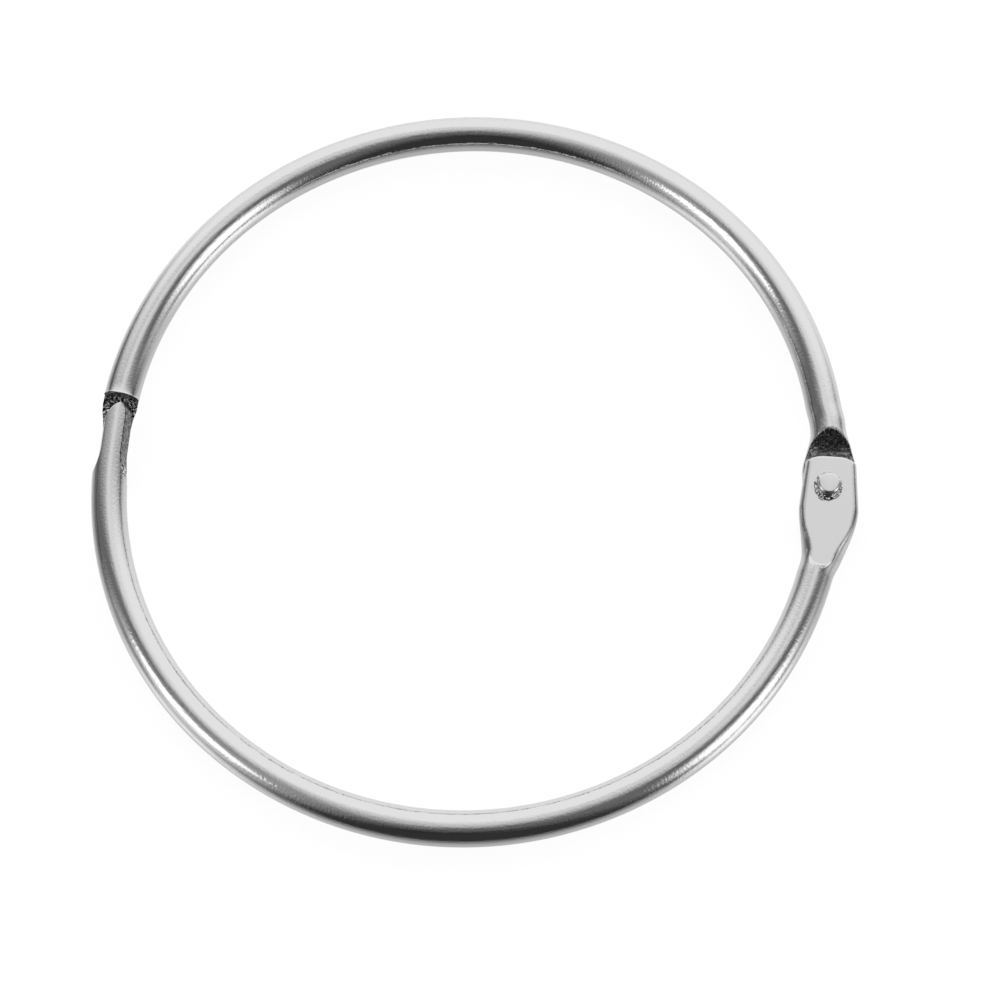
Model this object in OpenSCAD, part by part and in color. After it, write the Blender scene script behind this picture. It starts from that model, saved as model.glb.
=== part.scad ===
// Hinged loose-leaf binder ring: two half rings of round steel wire, joined by a rivet through
// pressed half-lap lugs, and closed by two half-round tongues that lap each other.
// Origin at the ring's centre on its mid plane, hinge on +X, closure on -X, +Z towards the viewer.

/* [Ring] */
// Outer size of the closed ring, measured across the line from hinge to closure
ring_d = 75; // [50:1:110]
// Diameter of the round wire
wire_d = 3.45; // [3.1:0.05:4.2]
// How much tighter the bend radius is near the hinge and the closure than in the round part
end_tighten = 1.8; // [1.5:0.1:3]

/* [Hinge lugs] */
// Thickness of each pressed lug
lug_t = 1.4; // [1.1:0.05:1.5]
// Full width of the front lug
front_lug_w = 5.7; // [5:0.1:6.4]
// Full width of the back lug
back_lug_w = 5.25; // [4.8:0.05:6]
// Distance from the rivet's axis to the lug's rounded end
lug_end = 3.2; // [2.6:0.1:3.6]
// Distance that the front lug's centre line stands out from the wire's
front_lug_shift = 0.2; // [0:0.05:0.4]
// Distance that the back lug's centre line stands out from the wire's
back_lug_shift = 0.15; // [0:0.05:0.3]
// Distance from the rivet's axis to where the front lug starts to widen from the wire
front_flare = 8.6; // [7.6:0.1:10]
// Distance from the rivet's axis to where the back lug starts to widen from the wire
back_flare = 6.3; // [5.6:0.1:8]
// Distance from the rivet's axis at which both lugs have their full width
flare_end = 2; // [1:0.1:3]
// How much narrower each lug has become at its rounded end
lug_taper = 0.8; // [0:0.1:1]
// Distance from the rivet's axis to where the pressed outer flat begins to run out
flat_len = 7.8; // [6:0.1:9]
// Radius of the run-out at the end of the pressed flat
flat_runout_r = 0.35; // [0.2:0.05:1]
// Distance from the rivet's axis to the foot of the step down to the lap face
step_foot = 3.6; // [3.6:0.05:4.4]
// Slope of the step, from the lap face up to the full wire
step_angle = 37; // [30:1:50]

/* [Closure] */
// Distance from the closure line to each square shoulder
shoulder = 4.6; // [4.4:0.1:6]
// Gap between a tongue's tip and the shoulder in front of it
tip_gap = 0.4; // [0.2:0.05:0.8]
// Width of each tongue at the lap face
tongue_w = 2.76; // [2.4:0.02:3]
// Distance that the tongue stands towards the inside of the ring
tongue_shift = 0.1; // [0:0.05:0.2]
// Distance from the wire's centre to the tip's point, towards the inside of the ring
tip_shift = 0.65; // [0.4:0.05:0.9]
// Radius of the long arc that trims the tip's outer side
tip_outer_r = 2.6; // [2.3:0.1:3.2]
// Radius of the arc that trims the tip's inner side
tip_inner_r = 2; // [1.8:0.1:2.4]
// Slope of the tongue's trimmed sides from upright
draft = 16; // [8:1:20]
// Distance from the closure line back to where the tongue starts to widen to the wire
neck = 0.8; // [0.5:0.1:1.4]
// Length over which the tongue widens to the wire
root_len = 2.4; // [1.8:0.1:3]
// Depth of the relief groove at the foot of each shoulder
groove_depth = 0.35; // [0.2:0.05:0.5]
// Length of the relief groove along the lap face
groove_len = 1.5; // [1:0.1:2]

/* [Rivet] */
// Diameter of the rivet's shank
rivet_d = 1.9; // [1.6:0.1:2.2]
// Diameter of the front button where it sits on the lug
button_d = 2.66; // [2.4:0.02:3]
// Diameter of the front button at its top
button_top_d = 2.1; // [1.9:0.05:2.5]
// Height of the front button above the lug
button_h = 1.3; // [0.8:0.1:1.6]
// Diameter of the peened head behind
peen_d = 2.9; // [2.6:0.05:3.3]
// Height of the peened head behind
peen_h = 0.75; // [0.5:0.05:0.9]

/* [Fits] */
// Gap between the two lap faces, at the hinge and at the closure
lap_gap = 0.06; // [0.02:0.01:0.12]
// Running clearance on the radius between the rivet and the back lug
rivet_clear = 0.05; // [0.03:0.01:0.1]
// Clearance under each rivet head
head_gap = 0.03; // [0.02:0.01:0.06]

/* [Hidden] */
$fn = 96;
e = 0.01; // overlap that keeps cutting tools clear of the faces they leave

wire_r = wire_d/2;
main_r = ring_d/2 - wire_r;               // centre line of the round part of each half
// The round part runs tangent into a tighter bend at each end, and that into a short straight end.
// Their centres and the ring's centre make a 3-4-5 triangle, which keeps every joint face exact.
end_r = main_r - end_tighten;
end_angle = atan(4/3);
end_x = 0.6*end_tighten;
end_straight = 0.8*end_tighten;
hinge_x = end_x + end_r;                  // centre line at the hinge and at the closure

lap = lap_gap/2;
tip = shoulder - tip_gap;
step_run = (wire_r + lap)/tan(step_angle);
loft_from = max(front_flare, back_flare, step_foot + step_run) + 0.2;  // round wire starts here
loft_root = 1;                            // length of the flared end that is rooted inside the wire
slip = 0.01;                              // how much smaller its rooted end is than the wire around it
flank_h = 0.93*lug_t;                     // height of the rounded upper flank if it ran on to a crown
end_round = 0.7;                          // length over which the lug's end rounds off
edge_round = 0.25;                        // rounding of the lug's end edge
lean = tan(draft);
tall = wire_r + 1;                        // height of the tongue's trim tool
tongue_outer = tongue_w/2 - tongue_shift;
tongue_inner = tongue_w/2 + tongue_shift;
steel = "silver";

// ---- path of the wire, s measured from the hinge line into the wire
function turn(s) = max(0, s - end_straight)/end_r*180/PI;
function centre(s) =
    s < end_straight ? [hinge_x, -s]
    : [end_x + end_r*cos(turn(s)), -end_straight - end_r*sin(turn(s))];
function smooth(t) = let(u = min(1, max(0, t))) u*u*(3 - 2*u);
function mix(a, b, t) = a + (b - a)*t;

// ---- sections of the flared hinge end: round wire at the far end, flat-flanked lug at the rivet
function flare(s, from) = smooth((from - s)/(from - flare_end));
function taper(s) = lug_taper/2*max(0, flare_end - s)/(flare_end + lug_end - end_round);
function end_shrink(s) = let(u = max(0, end_round - lug_end - s)/end_round) sqrt(max(0, 1 - u*u));
function section(s, from, half_w, shift, sides) =
    let(f = flare(s, from), lift = smooth((from - 1.6 - s)/(from - 1.6 - step_foot)), r = wire_r - slip,
        mid = mix(0, lug_t/2, lift), up = mix(r, flank_h, lift), down = mid + r,
        w = (mix(r, half_w, f) - taper(s))*end_shrink(s), c = centre(s), a = turn(s))
    [for (j = [0:sides - 1]) let(t = 360*j/sides,
        out = shift*smooth((loft_from - s)/2) + w*cos(t), z = mid + (sin(t) > 0 ? up : down)*sin(t))
        [c[0] + out*cos(a) - hinge_x, c[1] - out*sin(a), z]];

// A closed solid through a list of rings of points
module loft(rings) {
    n = len(rings[0]);
    m = len(rings);
    polyhedron(
        points = [for (ring = rings, p = ring) p],
        faces = concat([[for (j = [n - 1:-1:0]) j]],
            [for (i = [0:m - 2], j = [0:n - 1]) let(k = (j + 1)%n) each
                [[i*n + j, (i + 1)*n + k, (i + 1)*n + j], [i*n + j, i*n + k, (i + 1)*n + k]]],
            [[for (j = [0:n - 1]) (m - 1)*n + j]]));
}

module flared_end(from, lug_w, shift) {
    sides = 36;
    steps = 18;
    long = [for (i = [0:steps]) mix(loft_from, end_round - lug_end, i/steps)];
    short = [for (k = [20:20:80]) -lug_end + end_round*(1 - sin(k))];
    translate([hinge_x, 0, 0])
        loft([for (s = concat([loft_from + loft_root], long, short)) section(s, from, lug_w/2, shift, sides)]);
}

// ---- round wire from the flared end to the tongue's tip, angles counted from +X as the wire runs
module bend(r, from, to) {
    rotate_extrude(start = -to, angle = to - from) translate([r, 0]) circle(wire_r);
}

// Half of the round wire, from an angle near the hinge to the middle of the half ring
module quarter(from) {
    bend(main_r, end_angle, 90);
    translate([end_x, -end_straight, 0]) bend(end_r, from, end_angle);
}

module wire() {
    quarter(turn(loft_from));
    rotate([0, 180, 0]) quarter(0);
    translate([-hinge_x, -end_straight, 0]) rotate([-90, 0, 0]) cylinder(h = end_straight + tip + 1, r = wire_r);
}

// ---- press tools at the hinge, drawn in a side view of the wire: along it, and up
module side_tool(width) {
    translate([hinge_x + width/2, 0, 0]) rotate([90, 0, -90]) linear_extrude(width) children();
}

module outer_flat_tool() {
    side_tool(12) {
        translate([-lug_end - 2, lug_t]) square([flat_len + lug_end + 2, 3]);
        translate([flat_len, lug_t + flat_runout_r]) circle(flat_runout_r);
        translate([flat_len - e, lug_t + flat_runout_r]) square([flat_runout_r + e, 3]);
        difference() {
            translate([-lug_end - 1, lug_t - edge_round]) square([1 + edge_round, edge_round + e]);
            translate([-lug_end + edge_round, lug_t - edge_round]) circle(edge_round);
        }
    }
}

module lap_step_tool() {
    far = step_foot + step_run*2;
    side_tool(12) polygon([[-lug_end - 2, lap], [step_foot, lap], [far, lap - (far - step_foot)*tan(step_angle)],
        [far, -9], [-lug_end - 2, -9]]);
}

// ---- the tongue's trimmed outline at the closure, centred on the wire, its tip towards +Y
module tongue_side(side, edge, arc_r) {
    arc_y = tip - sqrt(pow(arc_r, 2) - pow(arc_r - edge + side*tip_shift, 2));
    translate([side*(edge - arc_r), arc_y, 0]) intersection() {
        cylinder(h = tall, r1 = arc_r, r2 = arc_r - tall*lean);
        translate([-9, 0, -1]) cube([18, 9, 9]);
    }
    translate([0, arc_y, 0]) rotate([90, 0, 0]) linear_extrude(arc_y + neck)
        polygon([[-side*4, 0], [side*edge, 0], [side*(edge - tall*lean), tall], [-side*4, tall]]);
}

module neck_side(side, edge) {
    root_r = pow(root_len, 2)/(2*(wire_r - edge));
    translate([side*(edge + root_r), -neck, 0])
        cylinder(h = tall + e, r1 = root_r, r2 = root_r + tall*lean, $fn = 200);
}

module tongue_space() {
    intersection() {
        tongue_side(-1, tongue_outer, tip_outer_r);
        tongue_side(1, tongue_inner, tip_inner_r);
    }
    difference() {
        translate([-3, -shoulder, 0]) cube([6, shoulder - neck, tall]);
        neck_side(-1, tongue_outer);
        neck_side(1, tongue_inner);
    }
}

module hinge_lug(from, lug_w, shift, bore_d) {
    difference() {
        flared_end(from, lug_w, shift);
        outer_flat_tool();
        lap_step_tool();
        translate([hinge_x, 0, -e]) cylinder(h = lug_t + 1, d = bore_d);
    }
}

module tongued_wire() {
    difference() {
        wire();
        difference() {
            translate([-hinge_x - 4, -shoulder, -4]) cube([8, shoulder + tip + 2, 8]);
            translate([-hinge_x, 0, lap]) tongue_space();
        }
        side_groove();
    }
}

module half_ring(from, lug_w, shift, bore_d) {
    hinge_lug(from, lug_w, shift, bore_d);
    tongued_wire();
}

// Relief groove across the lap face at the foot of the shoulder
module side_groove() {
    translate([-hinge_x - 4, 0, lap]) rotate([90, 0, 90]) linear_extrude(8)
        polygon([[-shoulder, -e], [-shoulder, groove_depth], [-shoulder + groove_len*0.6, groove_depth],
            [-shoulder + groove_len, -e]]);
}

module lower_half_ring() {
    color(steel) half_ring(front_flare, front_lug_w, front_lug_shift, rivet_d + 0.02);
}

module upper_half_ring() {
    color(steel) rotate([180, 0, 0])
        half_ring(back_flare, back_lug_w, back_lug_shift, rivet_d + 2*rivet_clear);
}

module hinge_rivet() {
    seat = lug_t + head_gap;
    rim = 0.18;
    top = seat + button_h;
    dome_r = (pow(peen_d/2, 2) + pow(peen_h, 2))/(2*peen_h);
    color(steel) translate([hinge_x, 0, 0]) rotate_extrude() {
        translate([0, -seat - e]) square([rivet_d/2, 2*seat + 2*e]);
        polygon([[0, seat], [button_d/2, seat], [button_top_d/2, seat + 0.35], [button_top_d/2, top - rim],
            [button_top_d/2 - rim, top - rim], [button_top_d/2 - rim, top], [0, top]]);
        translate([button_top_d/2 - rim, top - rim]) intersection() {
            circle(rim, $fn = 48);
            square(rim);
        }
        intersection() {
            translate([0, -seat - peen_h + dome_r]) circle(dome_r);
            translate([0, -seat - peen_h]) square([peen_d/2, peen_h]);
        }
    }
}

lower_half_ring();
upper_half_ring();
hinge_rivet();
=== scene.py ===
# %% [markdown]
# # A hinged binder ring
#
# A loose-leaf ring is two half rings of plated steel wire. One end of each is pressed into a flat
# lug, and the lugs lap each other on a rivet. The other ends are trimmed to half-round tongues
# that lap where the ring snaps shut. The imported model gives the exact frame: its bodies, its
# joint and its size. This script dresses it, so every piece is made in metres in the same frame.

# %% Load the frame
import math

import bmesh
import bpy
from mathutils import Matrix, Vector, noise


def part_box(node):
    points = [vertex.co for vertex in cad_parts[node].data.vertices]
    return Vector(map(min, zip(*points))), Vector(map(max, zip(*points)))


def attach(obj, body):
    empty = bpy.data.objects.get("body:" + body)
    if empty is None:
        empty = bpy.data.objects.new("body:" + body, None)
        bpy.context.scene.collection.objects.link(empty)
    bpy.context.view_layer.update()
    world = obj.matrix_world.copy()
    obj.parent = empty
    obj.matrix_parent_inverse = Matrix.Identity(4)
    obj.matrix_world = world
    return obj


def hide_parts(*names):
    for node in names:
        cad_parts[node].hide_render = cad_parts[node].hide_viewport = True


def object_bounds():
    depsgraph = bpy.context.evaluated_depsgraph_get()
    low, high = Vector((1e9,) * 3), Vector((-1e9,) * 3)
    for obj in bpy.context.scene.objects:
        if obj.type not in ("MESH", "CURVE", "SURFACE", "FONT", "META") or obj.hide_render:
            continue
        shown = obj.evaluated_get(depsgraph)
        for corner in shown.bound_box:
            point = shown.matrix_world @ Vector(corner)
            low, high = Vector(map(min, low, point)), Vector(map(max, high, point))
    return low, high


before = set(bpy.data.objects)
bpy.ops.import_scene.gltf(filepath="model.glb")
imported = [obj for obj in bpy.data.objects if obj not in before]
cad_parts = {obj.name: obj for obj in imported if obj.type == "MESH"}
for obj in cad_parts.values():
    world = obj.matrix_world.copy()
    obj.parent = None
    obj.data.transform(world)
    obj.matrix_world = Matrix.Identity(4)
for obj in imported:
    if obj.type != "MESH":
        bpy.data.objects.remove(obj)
cad_box = [list(corner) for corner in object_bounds()]
mm = 0.001

# %% [markdown]
# ## The sizes that the pieces share
#
# They repeat the source of the solids, in millimetres. The ring is not one circle: its round part
# runs tangent into a tighter bend at each end, and that into a short straight end. Three centres
# on a 3-4-5 triangle give that shape, and one length along the wire is enough to walk it.

# %% Sizes of the wire and of its path
wire_r = 1.725
main_r = 35.775
end_r = 33.975
end_angle = math.atan(4 / 3)
end_x, end_straight = 1.08, 1.44
hinge_x = end_x + end_r

first_bend = end_straight
round_from = first_bend + end_r * end_angle
round_to = round_from + main_r * (math.pi - 2 * end_angle)
last_bend = round_to + end_r * end_angle
closure = last_bend + end_straight
print(f"wire from hinge to closure: {closure:.1f} mm")

# %% Walk the path
def place_on_path(s):
    """Where the wire's centre is, s mm from the hinge line, and how far it has turned."""
    if s < first_bend:
        return Vector((hinge_x, -s)), 0.0
    if s < round_from:
        turn = (s - first_bend) / end_r
        return Vector((end_x + end_r * math.cos(turn), -end_straight - end_r * math.sin(turn))), turn
    if s < round_to:
        turn = end_angle + (s - round_from) / main_r
        return Vector((main_r * math.cos(turn), -main_r * math.sin(turn))), turn
    if s < last_bend:
        turn = math.pi - end_angle + (s - round_to) / end_r
        return Vector((-end_x + end_r * math.cos(turn), -end_straight - end_r * math.sin(turn))), turn
    return Vector((-hinge_x, s - closure)), math.pi


def smooth(t):
    t = min(1.0, max(0.0, t))
    return t * t * (3 - 2 * t)


def soft_min(a, b, k):
    """The lower of two heights, with the crease between them rounded over about k."""
    h = max(k - abs(a - b), 0.0) / k
    return min(a, b) - h * h * k / 4


print("half way round the half ring:", [round(c, 2) for c in place_on_path(closure / 2)[0]])

# %% [markdown]
# ## The pressed hinge lug
#
# The press squeezes the wire's end between two flat dies, so the metal spreads sideways. Seen
# from the front the lug flares out of the wire, its outer face is flat with a softly coined
# border, and its inner face steps down to the mid plane, where the other lug lies. A loft of
# sections could be modelled by hand, but a rule for each section keeps the flats truly flat.
# The front lug is wider and longer than the back one, and both follow the same rule.

# %% Sections of the lug
lug_t = 1.4
lug_end, end_round, end_edge_r = 3.2, 0.7, 0.25
flat_len, flat_bow, runout_r = 7.8, 0.5, 0.35
step_foot, step_slope = 3.6, math.tan(math.radians(37))
flare_end, lug_taper = 2.0, 0.8
lift_to_flare = 1.6
lug_fill = 0.93
lap = 0.03
coin, step_crease = 0.12, 0.08
cut_shows = 0.02
no_die = 9.0
loft_from, shift_len = 8.8, 2

# half width, where the flare begins, and how far the lug stands out from the wire's line
front_lug = 2.85, 8.6, 0.2
back_lug = 2.625, 6.3, 0.15


def lug_width(s, half_w, flare_from):
    spread = smooth((flare_from - s) / (flare_from - flare_end))
    taper = lug_taper / 2 * max(0.0, flare_end - s) / (flare_end + lug_end - end_round)
    bow = math.sqrt(max(0.0, 1 - (max(0.0, end_round - lug_end - s) / end_round) ** 2))
    return (wire_r + (half_w - wire_r) * spread - taper) * bow


def lug_point(s, t, half_w, flare_from, shift):
    """Outward offset and height of the lug's skin at angle t, then how sheared and pressed it is."""
    lift_from = flare_from - lift_to_flare
    lift = smooth((lift_from - s) / (lift_from - step_foot))
    mid = lift * lug_t / 2
    width = lug_width(s, half_w, flare_from)
    out = width * math.cos(t)
    if math.sin(t) >= 0:
        z = mid + (wire_r + (lug_fill * lug_t - wire_r) * lift) * math.sin(t)
        top = lug_t
        run = s - flat_len + flat_bow * min(1.0, abs(out)) ** 3
        if run > runout_r * 0.999:
            top = no_die
        elif run > 0:
            top += runout_r - math.sqrt(runout_r ** 2 - run ** 2)
        bow = math.sqrt(max(0.0, 1 - (out / half_w) ** 2))
        to_end = max(0.0, s + lug_end - end_round + end_round * bow)
        if to_end < end_edge_r:
            top -= end_edge_r - math.sqrt(end_edge_r ** 2 - (end_edge_r - to_end) ** 2)
        pressed = 1.0 if z > top + cut_shows else 0.0
        sheared = 1.0 if s < 0.1 - lug_end else 0.0
        z = soft_min(z, top, coin)
    else:
        z = mid + (mid + wire_r) * math.sin(t)
        floor = lap - max(0.0, s - step_foot) * step_slope
        pressed = 0.0
        sheared = 1.0 if z < floor - cut_shows else 0.0
        z = -soft_min(-z, -floor, step_crease)
    return out + shift * smooth((loft_from - s) / shift_len), z, sheared, pressed


print("front lug full width:", round(2 * lug_width(0, *front_lug[:2]), 2), "mm")

# %% [markdown]
# ## The trimmed tongue
#
# At the closure half of the wire is cut away, so that two tongues lap. The trim tool leans its
# sides in by about 16 degrees, rounds one corner of the tip more than the other, and leaves a
# square shoulder with a small relief groove at its foot. Seen from above, the tongue is a height
# over its outline: the round of the wire, or the leaning side, whichever is lower.

# %% Sections of the tongue
shoulder, tip = 4.6, 4.2
tongue_outer, tongue_inner = 1.28, 1.48
tip_shift, tip_outer_r, tip_inner_r = 0.65, 2.6, 2.0
lean = math.tan(math.radians(16))
neck, root_len, root_crease = 0.8, 2.4, 0.25
outer_crease, inner_crease = 0.2, 0.12
shear_reach = 0.3
groove_depth, groove_len, groove_wall = 0.35, 1.5, 0.4


def root_radius(edge):
    """Radius of the arc by which that side of the tongue widens to the wire."""
    return root_len ** 2 / (2 * (wire_r - edge))


def tip_from(edge, arc_r, to_tip):
    """How far past the closure line that side starts to curve to the tip."""
    return tip - math.sqrt(arc_r ** 2 - (arc_r - edge + to_tip) ** 2)


def tongue_edge(edge, arc_r, to_tip, p):
    """Half width of the tongue's base on one side, p mm past the closure line."""
    if p < -neck:
        root_r = root_radius(edge)
        widened = edge + root_r - math.sqrt(root_r ** 2 - (p + neck) ** 2)
        return soft_min(wire_r, widened, root_crease)
    past = p - tip_from(edge, arc_r, to_tip)
    if past > 0:
        return edge - arc_r + math.sqrt(max(0.0, arc_r ** 2 - past ** 2))
    return edge


def inside_edge(edge, arc_r, to_tip, p, out):
    """How far inside that edge a point lies, measured square to the edge."""
    if p < -neck:
        root_r = root_radius(edge)
        return math.hypot(edge + root_r - out, p + neck) - root_r
    past = p - tip_from(edge, arc_r, to_tip)
    if past > 0:
        return arc_r - math.hypot(out - edge + arc_r, past)
    return edge - out


def tongue_point(p, t):
    """Outward offset and height of the tongue's skin, then how sheared it is."""
    outer_side = tongue_outer, tip_outer_r, -tip_shift, p
    inner_side = tongue_inner, tip_inner_r, tip_shift, p
    outer, inner = tongue_edge(*outer_side), tongue_edge(*inner_side)
    out = (outer - inner) / 2 + (outer + inner) / 2 * math.cos(t)
    crown = math.sqrt(max(0.0, wire_r ** 2 - out ** 2))
    if math.sin(t) > 1e-9:
        outside, inside = inside_edge(*outer_side, out), inside_edge(*inner_side, -out)
        side = lap + max(0.0, min(inside, outside)) / lean
        sheared = 1.0 if side < crown + shear_reach and inside < outside else 0.0
        crease = outer_crease if outside < inside else inner_crease
        return out, max(lap, soft_min(crown, side, crease)), sheared
    foot = groove_len - shoulder
    rise = groove_depth * min(1.0, max(0.0, foot - p) / (groove_len * groove_wall))
    return out, min(lap + rise, crown), 1.0


print("tongue base:", tongue_outer + tongue_inner, "mm wide")

# %% [markdown]
# ## The half ring, the way it is made
#
# The maker cuts a straight length of wire, presses one end, trims the other and then bends it.
# The mesh follows the same order: a circle is extruded into a straight blank with more rings
# where the shape changes fast, each ring is pressed or trimmed, and the blank is bent last. Two
# rings lie at the shoulder, so the wall between them is square. The shear leaves a small lip on it.

# %% Stations along the blank
sides = 144
lip_h, lip_len = 0.035, 0.18
torn_past_groove = 0.3


def even(a, b, step):
    n = max(1, round((b - a) / step))
    return [a + (b - a) * i / n for i in range(n)]


stations = [-lug_end + end_round * (1 - math.sin(math.radians(k))) for k in range(90, 0, -6)]
stations += even(-lug_end + end_round, step_foot - 0.2, 0.25)
stations += even(step_foot - 0.2, loft_from, 0.12)
stations += even(loft_from, closure - shoulder - lip_len, 0.8)
stations += [closure - shoulder - gap for gap in (lip_len, 0.12, 0.08, 0.04, 0.01, 0)]
trimmed_from = len(stations)
stations += [closure - shoulder] + even(closure - shoulder + 0.02, closure - neck, 0.12)
stations += even(closure - neck, closure + 1.6, 0.2)
stations += even(closure + 1.6, closure + tip - 0.2, 0.06)
stations += even(closure + tip - 0.2, closure + tip, 0.02) + [closure + tip]
print(len(stations), "rings,", trimmed_from, "before the tongue")


# %% Press, trim and bend one half
def make_half_ring(name, half_w, flare_from, shift):
    """One closed half, with its finish (sheared, pressed, torn) in a colour attribute."""
    bm = bmesh.new()
    upright = Matrix.Rotation(math.pi / 2, 4, "X")
    bmesh.ops.create_circle(bm, cap_ends=False, segments=sides, radius=1.0, matrix=upright)
    ring = list(bm.edges)
    rings = [list(bm.verts)]
    for _ in stations[1:]:
        grown = bmesh.ops.extrude_edge_only(bm, edges=ring)["geom"]
        ring = [g for g in grown if isinstance(g, bmesh.types.BMEdge)
                and all(v in grown for v in g.verts)]
        rings.append([g for g in grown if isinstance(g, bmesh.types.BMVert)])
    along = bm.loops.layers.uv.new("along_wire")
    finish = bm.loops.layers.float_color.new("finish")
    reach, touched = {}, {}
    for i, (s, verts) in enumerate(zip(stations, rings)):
        centre, turn = place_on_path(s)
        outward = Vector((math.cos(turn), -math.sin(turn)))
        for v in verts:
            t = math.atan2(v.co.z, v.co.x)
            sheared = pressed = 0.0
            if i >= trimmed_from:
                out, z, sheared = tongue_point(s - closure, t)
            elif s < loft_from:
                out, z, sheared, pressed = lug_point(s, t, half_w, flare_from, shift)
            else:
                near_wall = smooth((s - closure + shoulder + lip_len) / (lip_len - 0.01))
                lip_r = wire_r + lip_h * near_wall * smooth(-4 * math.sin(t))
                out, z = lip_r * math.cos(t), lip_r * math.sin(t)
            reach[v], touched[v] = (s, t, i), (sheared, pressed)
            flat = centre + outward * out
            v.co = Vector((flat.x, flat.y, z)) * mm
    for face in bm.faces:
        between = {reach[v][2] for v in face.verts}
        shoulder_wall = between == {trimmed_from - 1, trimmed_from}
        for loop in face.loops:
            s, t, _ = reach[loop.vert]
            sheared, pressed = touched[loop.vert]
            loop[along].uv = (s / 100, abs(t) / math.pi)
            by_wall = -shoulder <= s - closure < torn_past_groove - shoulder + groove_len
            # metal marked torn gets a facet bump, and painted glints in its colour
            torn = 1.0 if shoulder_wall or (sheared and by_wall) else 0.0
            loop[finish] = (1.0 if shoulder_wall else sheared, pressed, torn, 1)
    bmesh.ops.remove_doubles(bm, verts=bm.verts, dist=1e-6)
    bmesh.ops.dissolve_degenerate(bm, edges=bm.edges, dist=1e-7)
    bmesh.ops.recalc_face_normals(bm, faces=bm.faces)
    mesh = bpy.data.meshes.new(name)
    bm.to_mesh(mesh)
    open_edges = sum(1 for e in bm.edges if len(e.link_faces) != 2)
    bm.free()
    for poly in mesh.polygons:
        poly.use_smooth = True
    mesh.set_sharp_from_angle(angle=math.radians(32))
    half = bpy.data.objects.new(name, mesh)
    bpy.context.scene.collection.objects.link(half)
    print(name, len(mesh.polygons), "faces,", open_edges, "open edges")
    return half


lower_half = make_half_ring("lower_half_wire", *front_lug)
upper_half = make_half_ring("upper_half_wire", *back_lug)
upper_half.data.transform(Matrix.Rotation(math.pi, 4, "X"))

# %% [markdown]
# ## The rivet
#
# One short rivet holds the lugs. Its button stands over the front lug with a flat top, a rolled
# rim and an uneven burr at its foot, and behind it the shank is peened to a low dome. It is
# round, so a profile of a few points is spun round the hinge axis, and the rim gets its roll from
# a bevel. The lugs have no hole for it here, because its two heads hide the shank.

# %% Spin the rivet
rivet_low, rivet_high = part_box("hinge_rivet")
seat, button_h = lug_t + 0.03, 1.3
foot_r, button_top_r, rim_roll = 1.39, 1.05, 0.2
peen_r, peen_h, shank_r = 1.45, 0.75, 0.95
burr, burr_h, burr_grain = 0.05, 0.45, 2600
dome_r = (peen_r ** 2 + peen_h ** 2) / (2 * peen_h)
profile = [(0, seat + button_h), (button_top_r, seat + button_h), (button_top_r + 0.01, seat + 0.42),
           (button_top_r + 0.04, seat + 0.28), (button_top_r + 0.13, seat + 0.18),
           (button_top_r + 0.24, seat + 0.14), (foot_r, seat + 0.07), (foot_r, seat),
           (shank_r, seat), (shank_r, -seat), (peen_r, -seat)]
for i in range(1, 9):
    a = math.asin(peen_r / dome_r) * (1 - i / 8)
    profile.append((dome_r * math.sin(a), -seat - peen_h + dome_r * (1 - math.cos(a))))

bm = bmesh.new()
outline = [bm.verts.new((r * mm, 0, z * mm)) for r, z in profile]
edges = [bm.edges.new(pair) for pair in zip(outline, outline[1:])]
bmesh.ops.spin(bm, geom=outline + edges, cent=(0, 0, 0), axis=(0, 0, 1), angle=2 * math.pi,
               steps=160, use_merge=True)
bmesh.ops.remove_doubles(bm, verts=bm.verts, dist=1e-6)
bmesh.ops.recalc_face_normals(bm, faces=bm.faces)
for v in bm.verts:
    height = v.co.z / mm - seat
    if -0.01 < height < burr_h and v.co.xy.length > 1.02 * mm:
        v.co.xy *= 1 + burr * noise.noise(v.co * burr_grain) * min(1, (burr_h - height) * 4)
rims = [e for e in bm.edges if len(e.link_faces) == 2 and e.calc_face_angle() > 1.0
        and abs(max(v.co.z for v in e.verts) - (seat + button_h) * mm) < 1e-7]
bmesh.ops.bevel(bm, geom=rims, offset=rim_roll * mm, offset_type="OFFSET", affect="EDGES",
                segments=6, profile=0.5, material=-1)
finish = bm.loops.layers.float_color.new("finish")
for face in bm.faces:
    for loop in face.loops:
        height = loop.vert.co.z / mm - seat
        outer_skin = loop.vert.co.xy.length > 1.0 * mm and height > -0.01
        sheared = 0.5 if outer_skin and height < button_h - 0.15 else 0.0
        # the burr at the foot is marked torn, so the plate paints glints, bright and dark patches,
        # into its colour
        loop[finish] = (sheared, 0, 1.0 if sheared and height < 0.40 else 0.0, 1)
bmesh.ops.translate(bm, verts=bm.verts, vec=(hinge_x * mm, 0, 0))
rivet_mesh = bpy.data.meshes.new("hinge_rivet_head")
bm.to_mesh(rivet_mesh)
bm.free()
for poly in rivet_mesh.polygons:
    poly.use_smooth = True
rivet_mesh.set_sharp_from_angle(angle=math.radians(32))
rivet = bpy.data.objects.new("hinge_rivet_head", rivet_mesh)
bpy.context.scene.collection.objects.link(rivet)
print("rivet:", len(rivet_mesh.polygons), "faces")
print("its centre in the frame: x", round((rivet_low.x + rivet_high.x) / 2, 5))

# %% [markdown]
# ## Bright plate
#
# Nickel plate is a mirror with small faults: a fine orange peel from the plating bath, dimples,
# and drawing lines left along the wire. The dies leave the flats smoother, and the shear leaves
# its walls dark and mottled, and torn by the shoulder. Where it is torn, painted glints, bright
# and dark patches in its colour, stand in for the light that the torn metal catches. The mesh
# says which is which in its colour attribute "finish" (red sheared, green pressed, blue torn),
# and the plate reads it.

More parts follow.
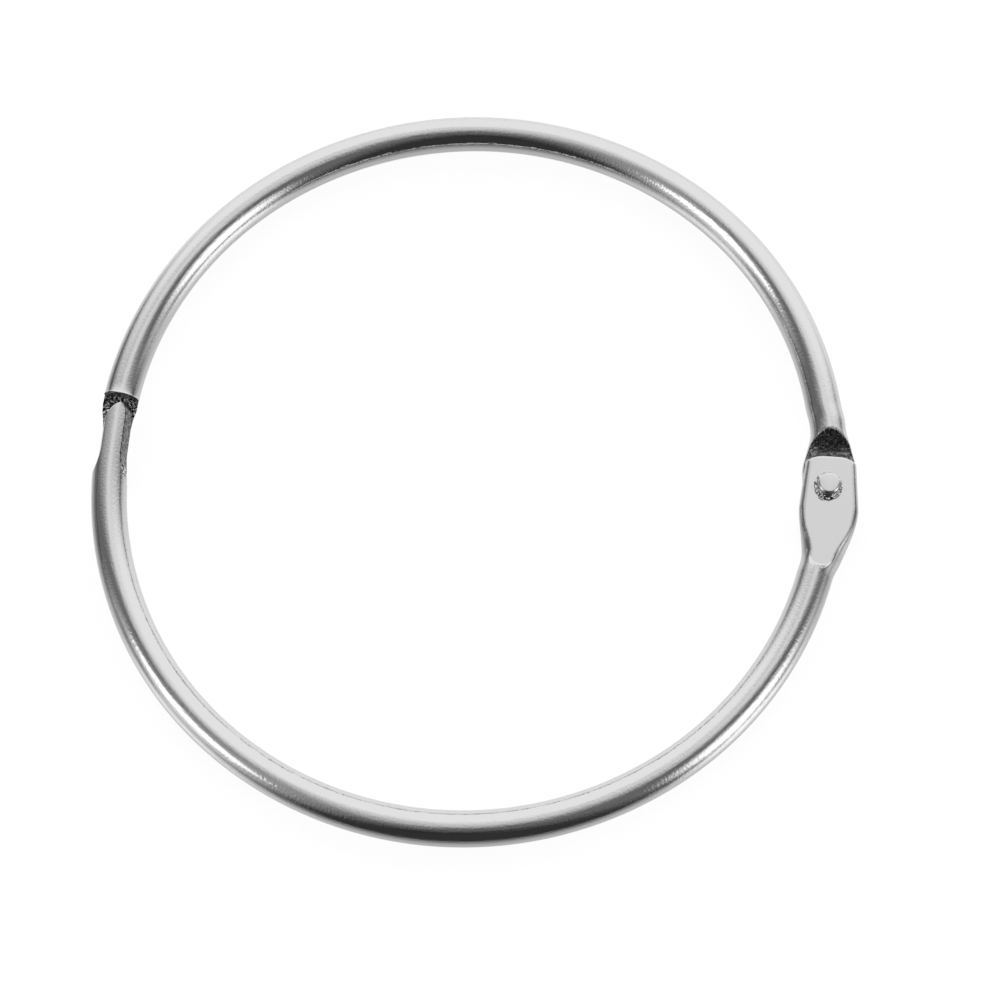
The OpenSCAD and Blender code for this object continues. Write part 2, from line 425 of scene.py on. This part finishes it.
# %% Nodes that the materials are mixed from
def add_noise(tree, coords, scale, detail):
    grain = tree.nodes.new("ShaderNodeTexNoise")
    grain.inputs["Scale"].default_value = scale
    grain.inputs["Detail"].default_value = detail
    tree.links.new(coords, grain.inputs["Vector"])
    return grain.outputs["Fac"]


def add_range(tree, value, low, high, to_low, to_high, blend="LINEAR"):
    remap = tree.nodes.new("ShaderNodeMapRange")
    remap.interpolation_type = blend
    numbers = {"From Min": low, "From Max": high, "To Min": to_low, "To Max": to_high}
    for socket, number in numbers.items():
        remap.inputs[socket].default_value = number
    tree.links.new(value, remap.inputs["Value"])
    return remap.outputs["Result"]


def add_math(tree, operation, *values):
    """One math node, whose inputs are numbers or sockets."""
    step = tree.nodes.new("ShaderNodeMath")
    step.operation = operation
    for socket, value in zip(step.inputs, values):
        if isinstance(value, (int, float)):
            socket.default_value = value
        else:
            tree.links.new(value, socket)
    return step.outputs[0]


def add_product(tree, first, *others):
    for other in others:
        first = add_math(tree, "MULTIPLY", first, other)
    return first


def add_vector_math(tree, operation, vector, by=None):
    step = tree.nodes.new("ShaderNodeVectorMath")
    step.operation = operation
    tree.links.new(vector, step.inputs[0])
    if by:
        step.inputs[1].default_value = by
    return step


print("five kinds of node to mix from")

# %% Grain of the plate
peel_grain, dimple_grain, patchy_grain, cloud_grain = 4200, 2600, 600, 700
# the range by which painted glints darken and brighten the colour of torn metal
bright, torn_painted_glint = 0.81, (-0.1, 0.5)


def add_skin(tree, place):
    """Orange peel of the plating bath, with the drawing lines that run along the wire."""
    wire_uv = tree.nodes.new("ShaderNodeUVMap")
    wire_uv.uv_map = "along_wire"
    stretch = tree.nodes.new("ShaderNodeMapping")
    stretch.inputs["Scale"].default_value = (60, 34, 1)
    tree.links.new(wire_uv.outputs["UV"], stretch.inputs["Vector"])
    lines = add_noise(tree, stretch.outputs["Vector"], 1.0, 2)
    return add_math(tree, "ADD", add_noise(tree, place, peel_grain, 1), lines)


def add_dimples(tree, place, cells):
    """Small dimples scattered over the plate, thicker in some places."""
    dimple = add_range(tree, cells, 0.05, 0.30, 0, 1)
    spared = add_range(tree, add_noise(tree, place, patchy_grain, 1), 0.44, 0.56, 0, 1)
    return add_math(tree, "MAXIMUM", dimple, spared)


def add_tool_rings(tree, place):
    """Faint broken rings that the riveting tool leaves round the rivet."""
    in_plane = add_vector_math(tree, "MULTIPLY", place, (1, 1, 0)).outputs["Vector"]
    centre = (hinge_x * mm, 0, 0)
    off_axis = add_vector_math(tree, "DISTANCE", in_plane, centre).outputs["Value"]
    ripple = add_math(tree, "SINE", add_math(tree, "MULTIPLY", off_axis, 21000))
    near = add_range(tree, off_axis, 1.5 * mm, 2.3 * mm, 1, 0)
    broken = add_range(tree, add_noise(tree, place, 1500, 1), 0.45, 0.62, 0, 1)
    return add_product(tree, near, broken, ripple)


def add_tone(tree, pits, sheared, torn):
    """Bright plate, mottled dark metal where it is sheared, and painted glints, bright and dark
    patches of colour, where it is torn.
    """
    mottle = add_range(tree, pits, 0.40, 0.64, 0.12, 0.42)
    # painted glints: bright and dark patches in the colour of torn metal, standing in for light it
    # catches
    painted_glints = add_range(tree, pits, 0.46, 0.56, *torn_painted_glint)
    mottle = add_math(tree, "ADD", mottle, add_product(tree, torn, painted_glints))
    tone = tree.nodes.new("ShaderNodeMix")
    tone.inputs["A"].default_value = bright
    tree.links.new(sheared, tone.inputs["Factor"])
    tree.links.new(mottle, tone.inputs["B"])
    colour = tree.nodes.new("ShaderNodeCombineColor")
    for channel in ("Red", "Green"):
        tree.links.new(tone.outputs["Result"], colour.inputs[channel])
    tree.links.new(add_product(tree, tone.outputs["Result"], 1.01), colour.inputs["Blue"])
    return colour.outputs["Color"]


print("grain from", round(1 / peel_grain / mm, 2), "to", round(1 / patchy_grain / mm, 2), "mm")

# %% Mix the plate
skin_h, dimple_h, ring_h, pit_h, facet_h = 0.03, 0.014, 0.004, 0.05, 0.2
pressed_calm, cloud_depth, shear_dull = 0.25, 0.05, 0.16


def make_plate(name, peel, polish):
    """Plate whose peel is a share of the full relief, with polish as its least roughness."""
    plate = bpy.data.materials.new(name)
    plate.use_nodes = True
    tree = plate.node_tree
    shader = tree.nodes["Principled BSDF"]
    shader.inputs["Metallic"].default_value = 1.0
    place = tree.nodes.new("ShaderNodeTexCoord").outputs["Object"]
    finish = tree.nodes.new("ShaderNodeAttribute")
    finish.attribute_name = "finish"
    parts = tree.nodes.new("ShaderNodeSeparateColor")
    tree.links.new(finish.outputs["Color"], parts.inputs["Color"])
    sheared, pressed, torn = (parts.outputs[channel] for channel in ("Red", "Green", "Blue"))
    pits = add_noise(tree, place, peel_grain, 2)
    voronoi = tree.nodes.new("ShaderNodeTexVoronoi")
    voronoi.inputs["Scale"].default_value = dimple_grain
    tree.links.new(place, voronoi.inputs["Vector"])
    cells = voronoi.outputs["Distance"]

    tree.links.new(add_tone(tree, pits, sheared, torn), shader.inputs["Base Color"])
    cloud = add_noise(tree, place, cloud_grain, 1)
    rough = add_range(tree, cloud, 0.35, 0.7, polish, polish + cloud_depth)
    rough = add_math(tree, "ADD", rough, add_product(tree, sheared, shear_dull))
    tree.links.new(rough, shader.inputs["Roughness"])

    # heights of the relief in millimetres, summed for one bump
    calm = add_range(tree, pressed, 0, 1, peel, peel * pressed_calm)
    dimples = add_product(tree, add_dimples(tree, place, cells), dimple_h)
    relief = add_math(tree, "ADD", add_product(tree, add_skin(tree, place), skin_h), dimples)
    relief = add_product(tree, relief, calm)
    for height, amount, where in ((add_tool_rings(tree, place), ring_h, pressed),
                                  (pits, pit_h, sheared), (cells, facet_h, torn)):
        relief = add_math(tree, "ADD", relief, add_product(tree, height, amount, where))
    bump = tree.nodes.new("ShaderNodeBump")
    bump.inputs["Distance"].default_value = mm
    tree.links.new(relief, bump.inputs["Height"])
    tree.links.new(bump.outputs["Normal"], shader.inputs["Normal"])
    print("mixed", name)
    return plate


wire_plate = make_plate("bright_wire_plate", 0.32, 0.015)
rivet_plate = make_plate("bright_rivet_plate", 0.3, 0.03)
lower_half.data.materials.append(wire_plate)
upper_half.data.materials.append(wire_plate)
rivet.data.materials.append(rivet_plate)

# %% [markdown]
# ## Join the pieces to the frame
#
# Each piece rides on the body that carries its solid, so the hinge moves the upper half alone.

# %% Ride and replace
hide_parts("lower_half_ring")
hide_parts("upper_half_ring")
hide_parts("hinge_rivet")
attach(lower_half, "lower_half")
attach(upper_half, "upper_half")
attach(rivet, "lower_half")
print("three pieces ride on two bodies")

# %% [markdown]
# ## Floor
#
# A mirror shows its room, so the room is the finish. The camera sees a white board with a faint
# shadow. The metal sees a paler glow in it and the sky's gleam on it, stronger at a low angle.

# %% Pale floor
bm = bmesh.new()
bmesh.ops.create_grid(bm, x_segments=1, y_segments=1, size=2.0)
floor_z = min(corner[2] for corner in cad_box)
bmesh.ops.translate(bm, verts=bm.verts, vec=(0, 0, floor_z))
floor_mesh = bpy.data.meshes.new("pale_floor")
bm.to_mesh(floor_mesh)
bm.free()
floor = bpy.data.objects.new("pale_floor", floor_mesh)
bpy.context.scene.collection.objects.link(floor)
paper = bpy.data.materials.new("white_board")
paper.use_nodes = True
tree = paper.node_tree
tree.nodes.remove(tree.nodes["Principled BSDF"])
sheet = tree.nodes.new("ShaderNodeBsdfDiffuse")
sheet.inputs["Color"].default_value = (0.92, 0.92, 0.92, 1)
ray = tree.nodes.new("ShaderNodeLightPath")
camera_share, camera_glow = 0.78, 1.17
metal_share, metal_glow = 0.35, 1.6
gleam = 0.95


def add_blend(amount, under, over):
    blend = tree.nodes.new("ShaderNodeMixShader")
    tree.links.new(amount, blend.inputs[0])
    tree.links.new(under, blend.inputs[1])
    tree.links.new(over, blend.inputs[2])
    return blend.outputs[0]


def add_glow(strength):
    glow = tree.nodes.new("ShaderNodeEmission")
    glow.inputs["Strength"].default_value = strength
    return glow.outputs[0]


seen = add_product(tree, ray.outputs["Is Camera Ray"], camera_share)
surface = add_blend(seen, sheet.outputs[0], add_glow(camera_glow))
mirrored = add_product(tree, ray.outputs["Is Glossy Ray"], metal_share)
surface = add_blend(mirrored, surface, add_glow(metal_glow))
facing = tree.nodes.new("ShaderNodeLayerWeight")
facing.inputs["Blend"].default_value = 0.5
glance = add_range(tree, facing.outputs["Facing"], 0.3, 1.0, 0, 1)
for roughness, amount in ((0.45, 0.45), (0.05, glance)):
    shine = tree.nodes.new("ShaderNodeBsdfGlossy")
    shine.inputs["Color"].default_value = (gleam, gleam, gleam, 1)
    shine.inputs["Roughness"].default_value = roughness
    amount = add_product(tree, ray.outputs["Is Glossy Ray"], amount)
    surface = add_blend(amount, surface, shine.outputs[0])
tree.links.new(surface, tree.nodes["Material Output"].inputs["Surface"])
floor.data.materials.append(paper)
print("floor at", round(floor_z * 1000, 2), "mm")

# %% [markdown]
# ## Soft light
#
# The studio is drawn on the sky around the ring, as oval patches that fade at the rim. Area lamps
# would do, but their hard edges show as outlines in a mirror. The patches weren't set by hand: a
# fitting program found their places, shapes and strengths, and only a few were changed after it.
# The names beside them say what each looks like in the metal.

# %% Patches of sky
world = bpy.data.worlds.new("studio")
bpy.context.scene.world = world
world.use_nodes = True
sky = world.node_tree
direction = sky.nodes.new("ShaderNodeTexCoord").outputs["Generated"]
room_level, darkest = 0.15, 0.02


def add_patch(azimuth, height, roll, wide, high, core, strength):
    """An oval patch of sky: full strength in its core and gone at its rim, angles in degrees."""
    a, h = math.radians(azimuth), math.radians(height)
    toward = Vector((math.cos(a) * math.cos(h), math.sin(a) * math.cos(h), math.sin(h)))
    across = Vector((-math.sin(a), math.cos(a), 0))
    upright = Matrix((across, toward.cross(across), toward)).transposed()
    turned = upright @ Matrix.Rotation(math.radians(roll), 3, "Z")
    place = sky.nodes.new("ShaderNodeMapping")
    place.vector_type = "TEXTURE"
    place.inputs["Location"].default_value = toward
    place.inputs["Rotation"].default_value = turned.to_euler()
    place.inputs["Scale"].default_value = (wide, high, 1)
    sky.links.new(direction, place.inputs["Vector"])
    away = add_vector_math(sky, "LENGTH", place.outputs["Vector"]).outputs["Value"]
    return add_range(sky, away, core, 1, strength, 0, "SMOOTHSTEP")


patches = (add_patch(90, 20, -16, 1.40, 1.18, 0.55, 0.78),      # white wall behind
           add_patch(208, 39, -75, 0.29, 0.27, 0.89, 0.66),     # soft box on the left
           add_patch(333, 25, -9, 0.39, 0.61, 0.24, 1.30),      # soft box on the right
           add_patch(354, 16, -3, 0.34, 0.57, 0.03, 0.40),      # wall that the right one lights
           add_patch(212, 30, -15, 0.55, 1.20, 0.16, 0.63),     # wall that the left one lights
           add_patch(61, 85, -47, 0.40, 0.47, 0.07, 0.50),      # ceiling light
           add_patch(272, 11, 26, 0.68, 1.60, 0.59, -0.115),    # dark room in front
           add_patch(275, 86, -11, 0.16, 0.28, 0.46, -0.18),    # dark ceiling over it
           add_patch(235, 53, -16, 0.41, 0.72, 0.00, -0.26),    # and beside it
           add_patch(198, 8, -32, 0.21, 0.12, 0.55, -0.29),     # doorway on the left
           add_patch(201, -1, -23, 1.09, 0.12, 0.00, -0.13),    # skirting
           add_patch(145, 1, -7, 0.37, 0.71, 0.00, -0.33),      # dark left edge of the wall
           add_patch(22, -6, -10, 0.25, 0.31, 0.07, -0.25))     # dark right edge of the wall
light = room_level
for patch in patches:
    light = add_math(sky, "ADD", light, patch)
light = add_math(sky, "MAXIMUM", light, darkest)
print(len(patches), "patches of sky")

# %% Light in the metal, plain white behind
studio = sky.nodes["Background"]
sky.links.new(light, studio.inputs["Color"])
plain_white = sky.nodes.new("ShaderNodeBackground")
plain_white.inputs["Color"].default_value = (1, 1, 1, 1)
choose = sky.nodes.new("ShaderNodeMixShader")
to_camera = sky.nodes.new("ShaderNodeLightPath").outputs["Is Camera Ray"]
for socket, source in zip(choose.inputs, (to_camera, studio.outputs[0], plain_white.outputs[0])):
    sky.links.new(source, socket)
sky.links.new(choose.outputs[0], sky.nodes["World Output"].inputs["Surface"])
bpy.context.scene.view_settings.view_transform = "Standard"
print("background white, view", bpy.context.scene.view_settings.view_transform)

# %% [markdown]
# ## Camera
#
# It looks down on the ring from in front, a little turned and rolled, as one would hold it.

# %% Camera
tilt, roll = math.radians(72.0), math.radians(-7.69)
heading = Matrix.Rotation(math.radians(12.3), 3, "Z")
right = heading @ Vector((1, 0, 0))
up = heading @ Vector((0, math.sin(tilt), math.cos(tilt)))
back = heading @ Vector((0, -math.cos(tilt), math.sin(tilt)))
eye = (heading @ Vector((2.82, -79.2, 231.35))) * mm
across = right * math.cos(roll) + up * math.sin(roll)
upward = up * math.cos(roll) - right * math.sin(roll)
camera_data = bpy.data.cameras.new("camera")
camera_data.lens = 89.82
camera_data.sensor_width = 36
camera_data.clip_start = 0.01
camera = bpy.data.objects.new("camera", camera_data)
bpy.context.scene.collection.objects.link(camera)
turn = Matrix((across, upward, back)).transposed().to_4x4()
camera.matrix_world = Matrix.Translation(eye) @ turn
bpy.context.scene.camera = camera
print("camera at", [round(c * 1000, 1) for c in eye])
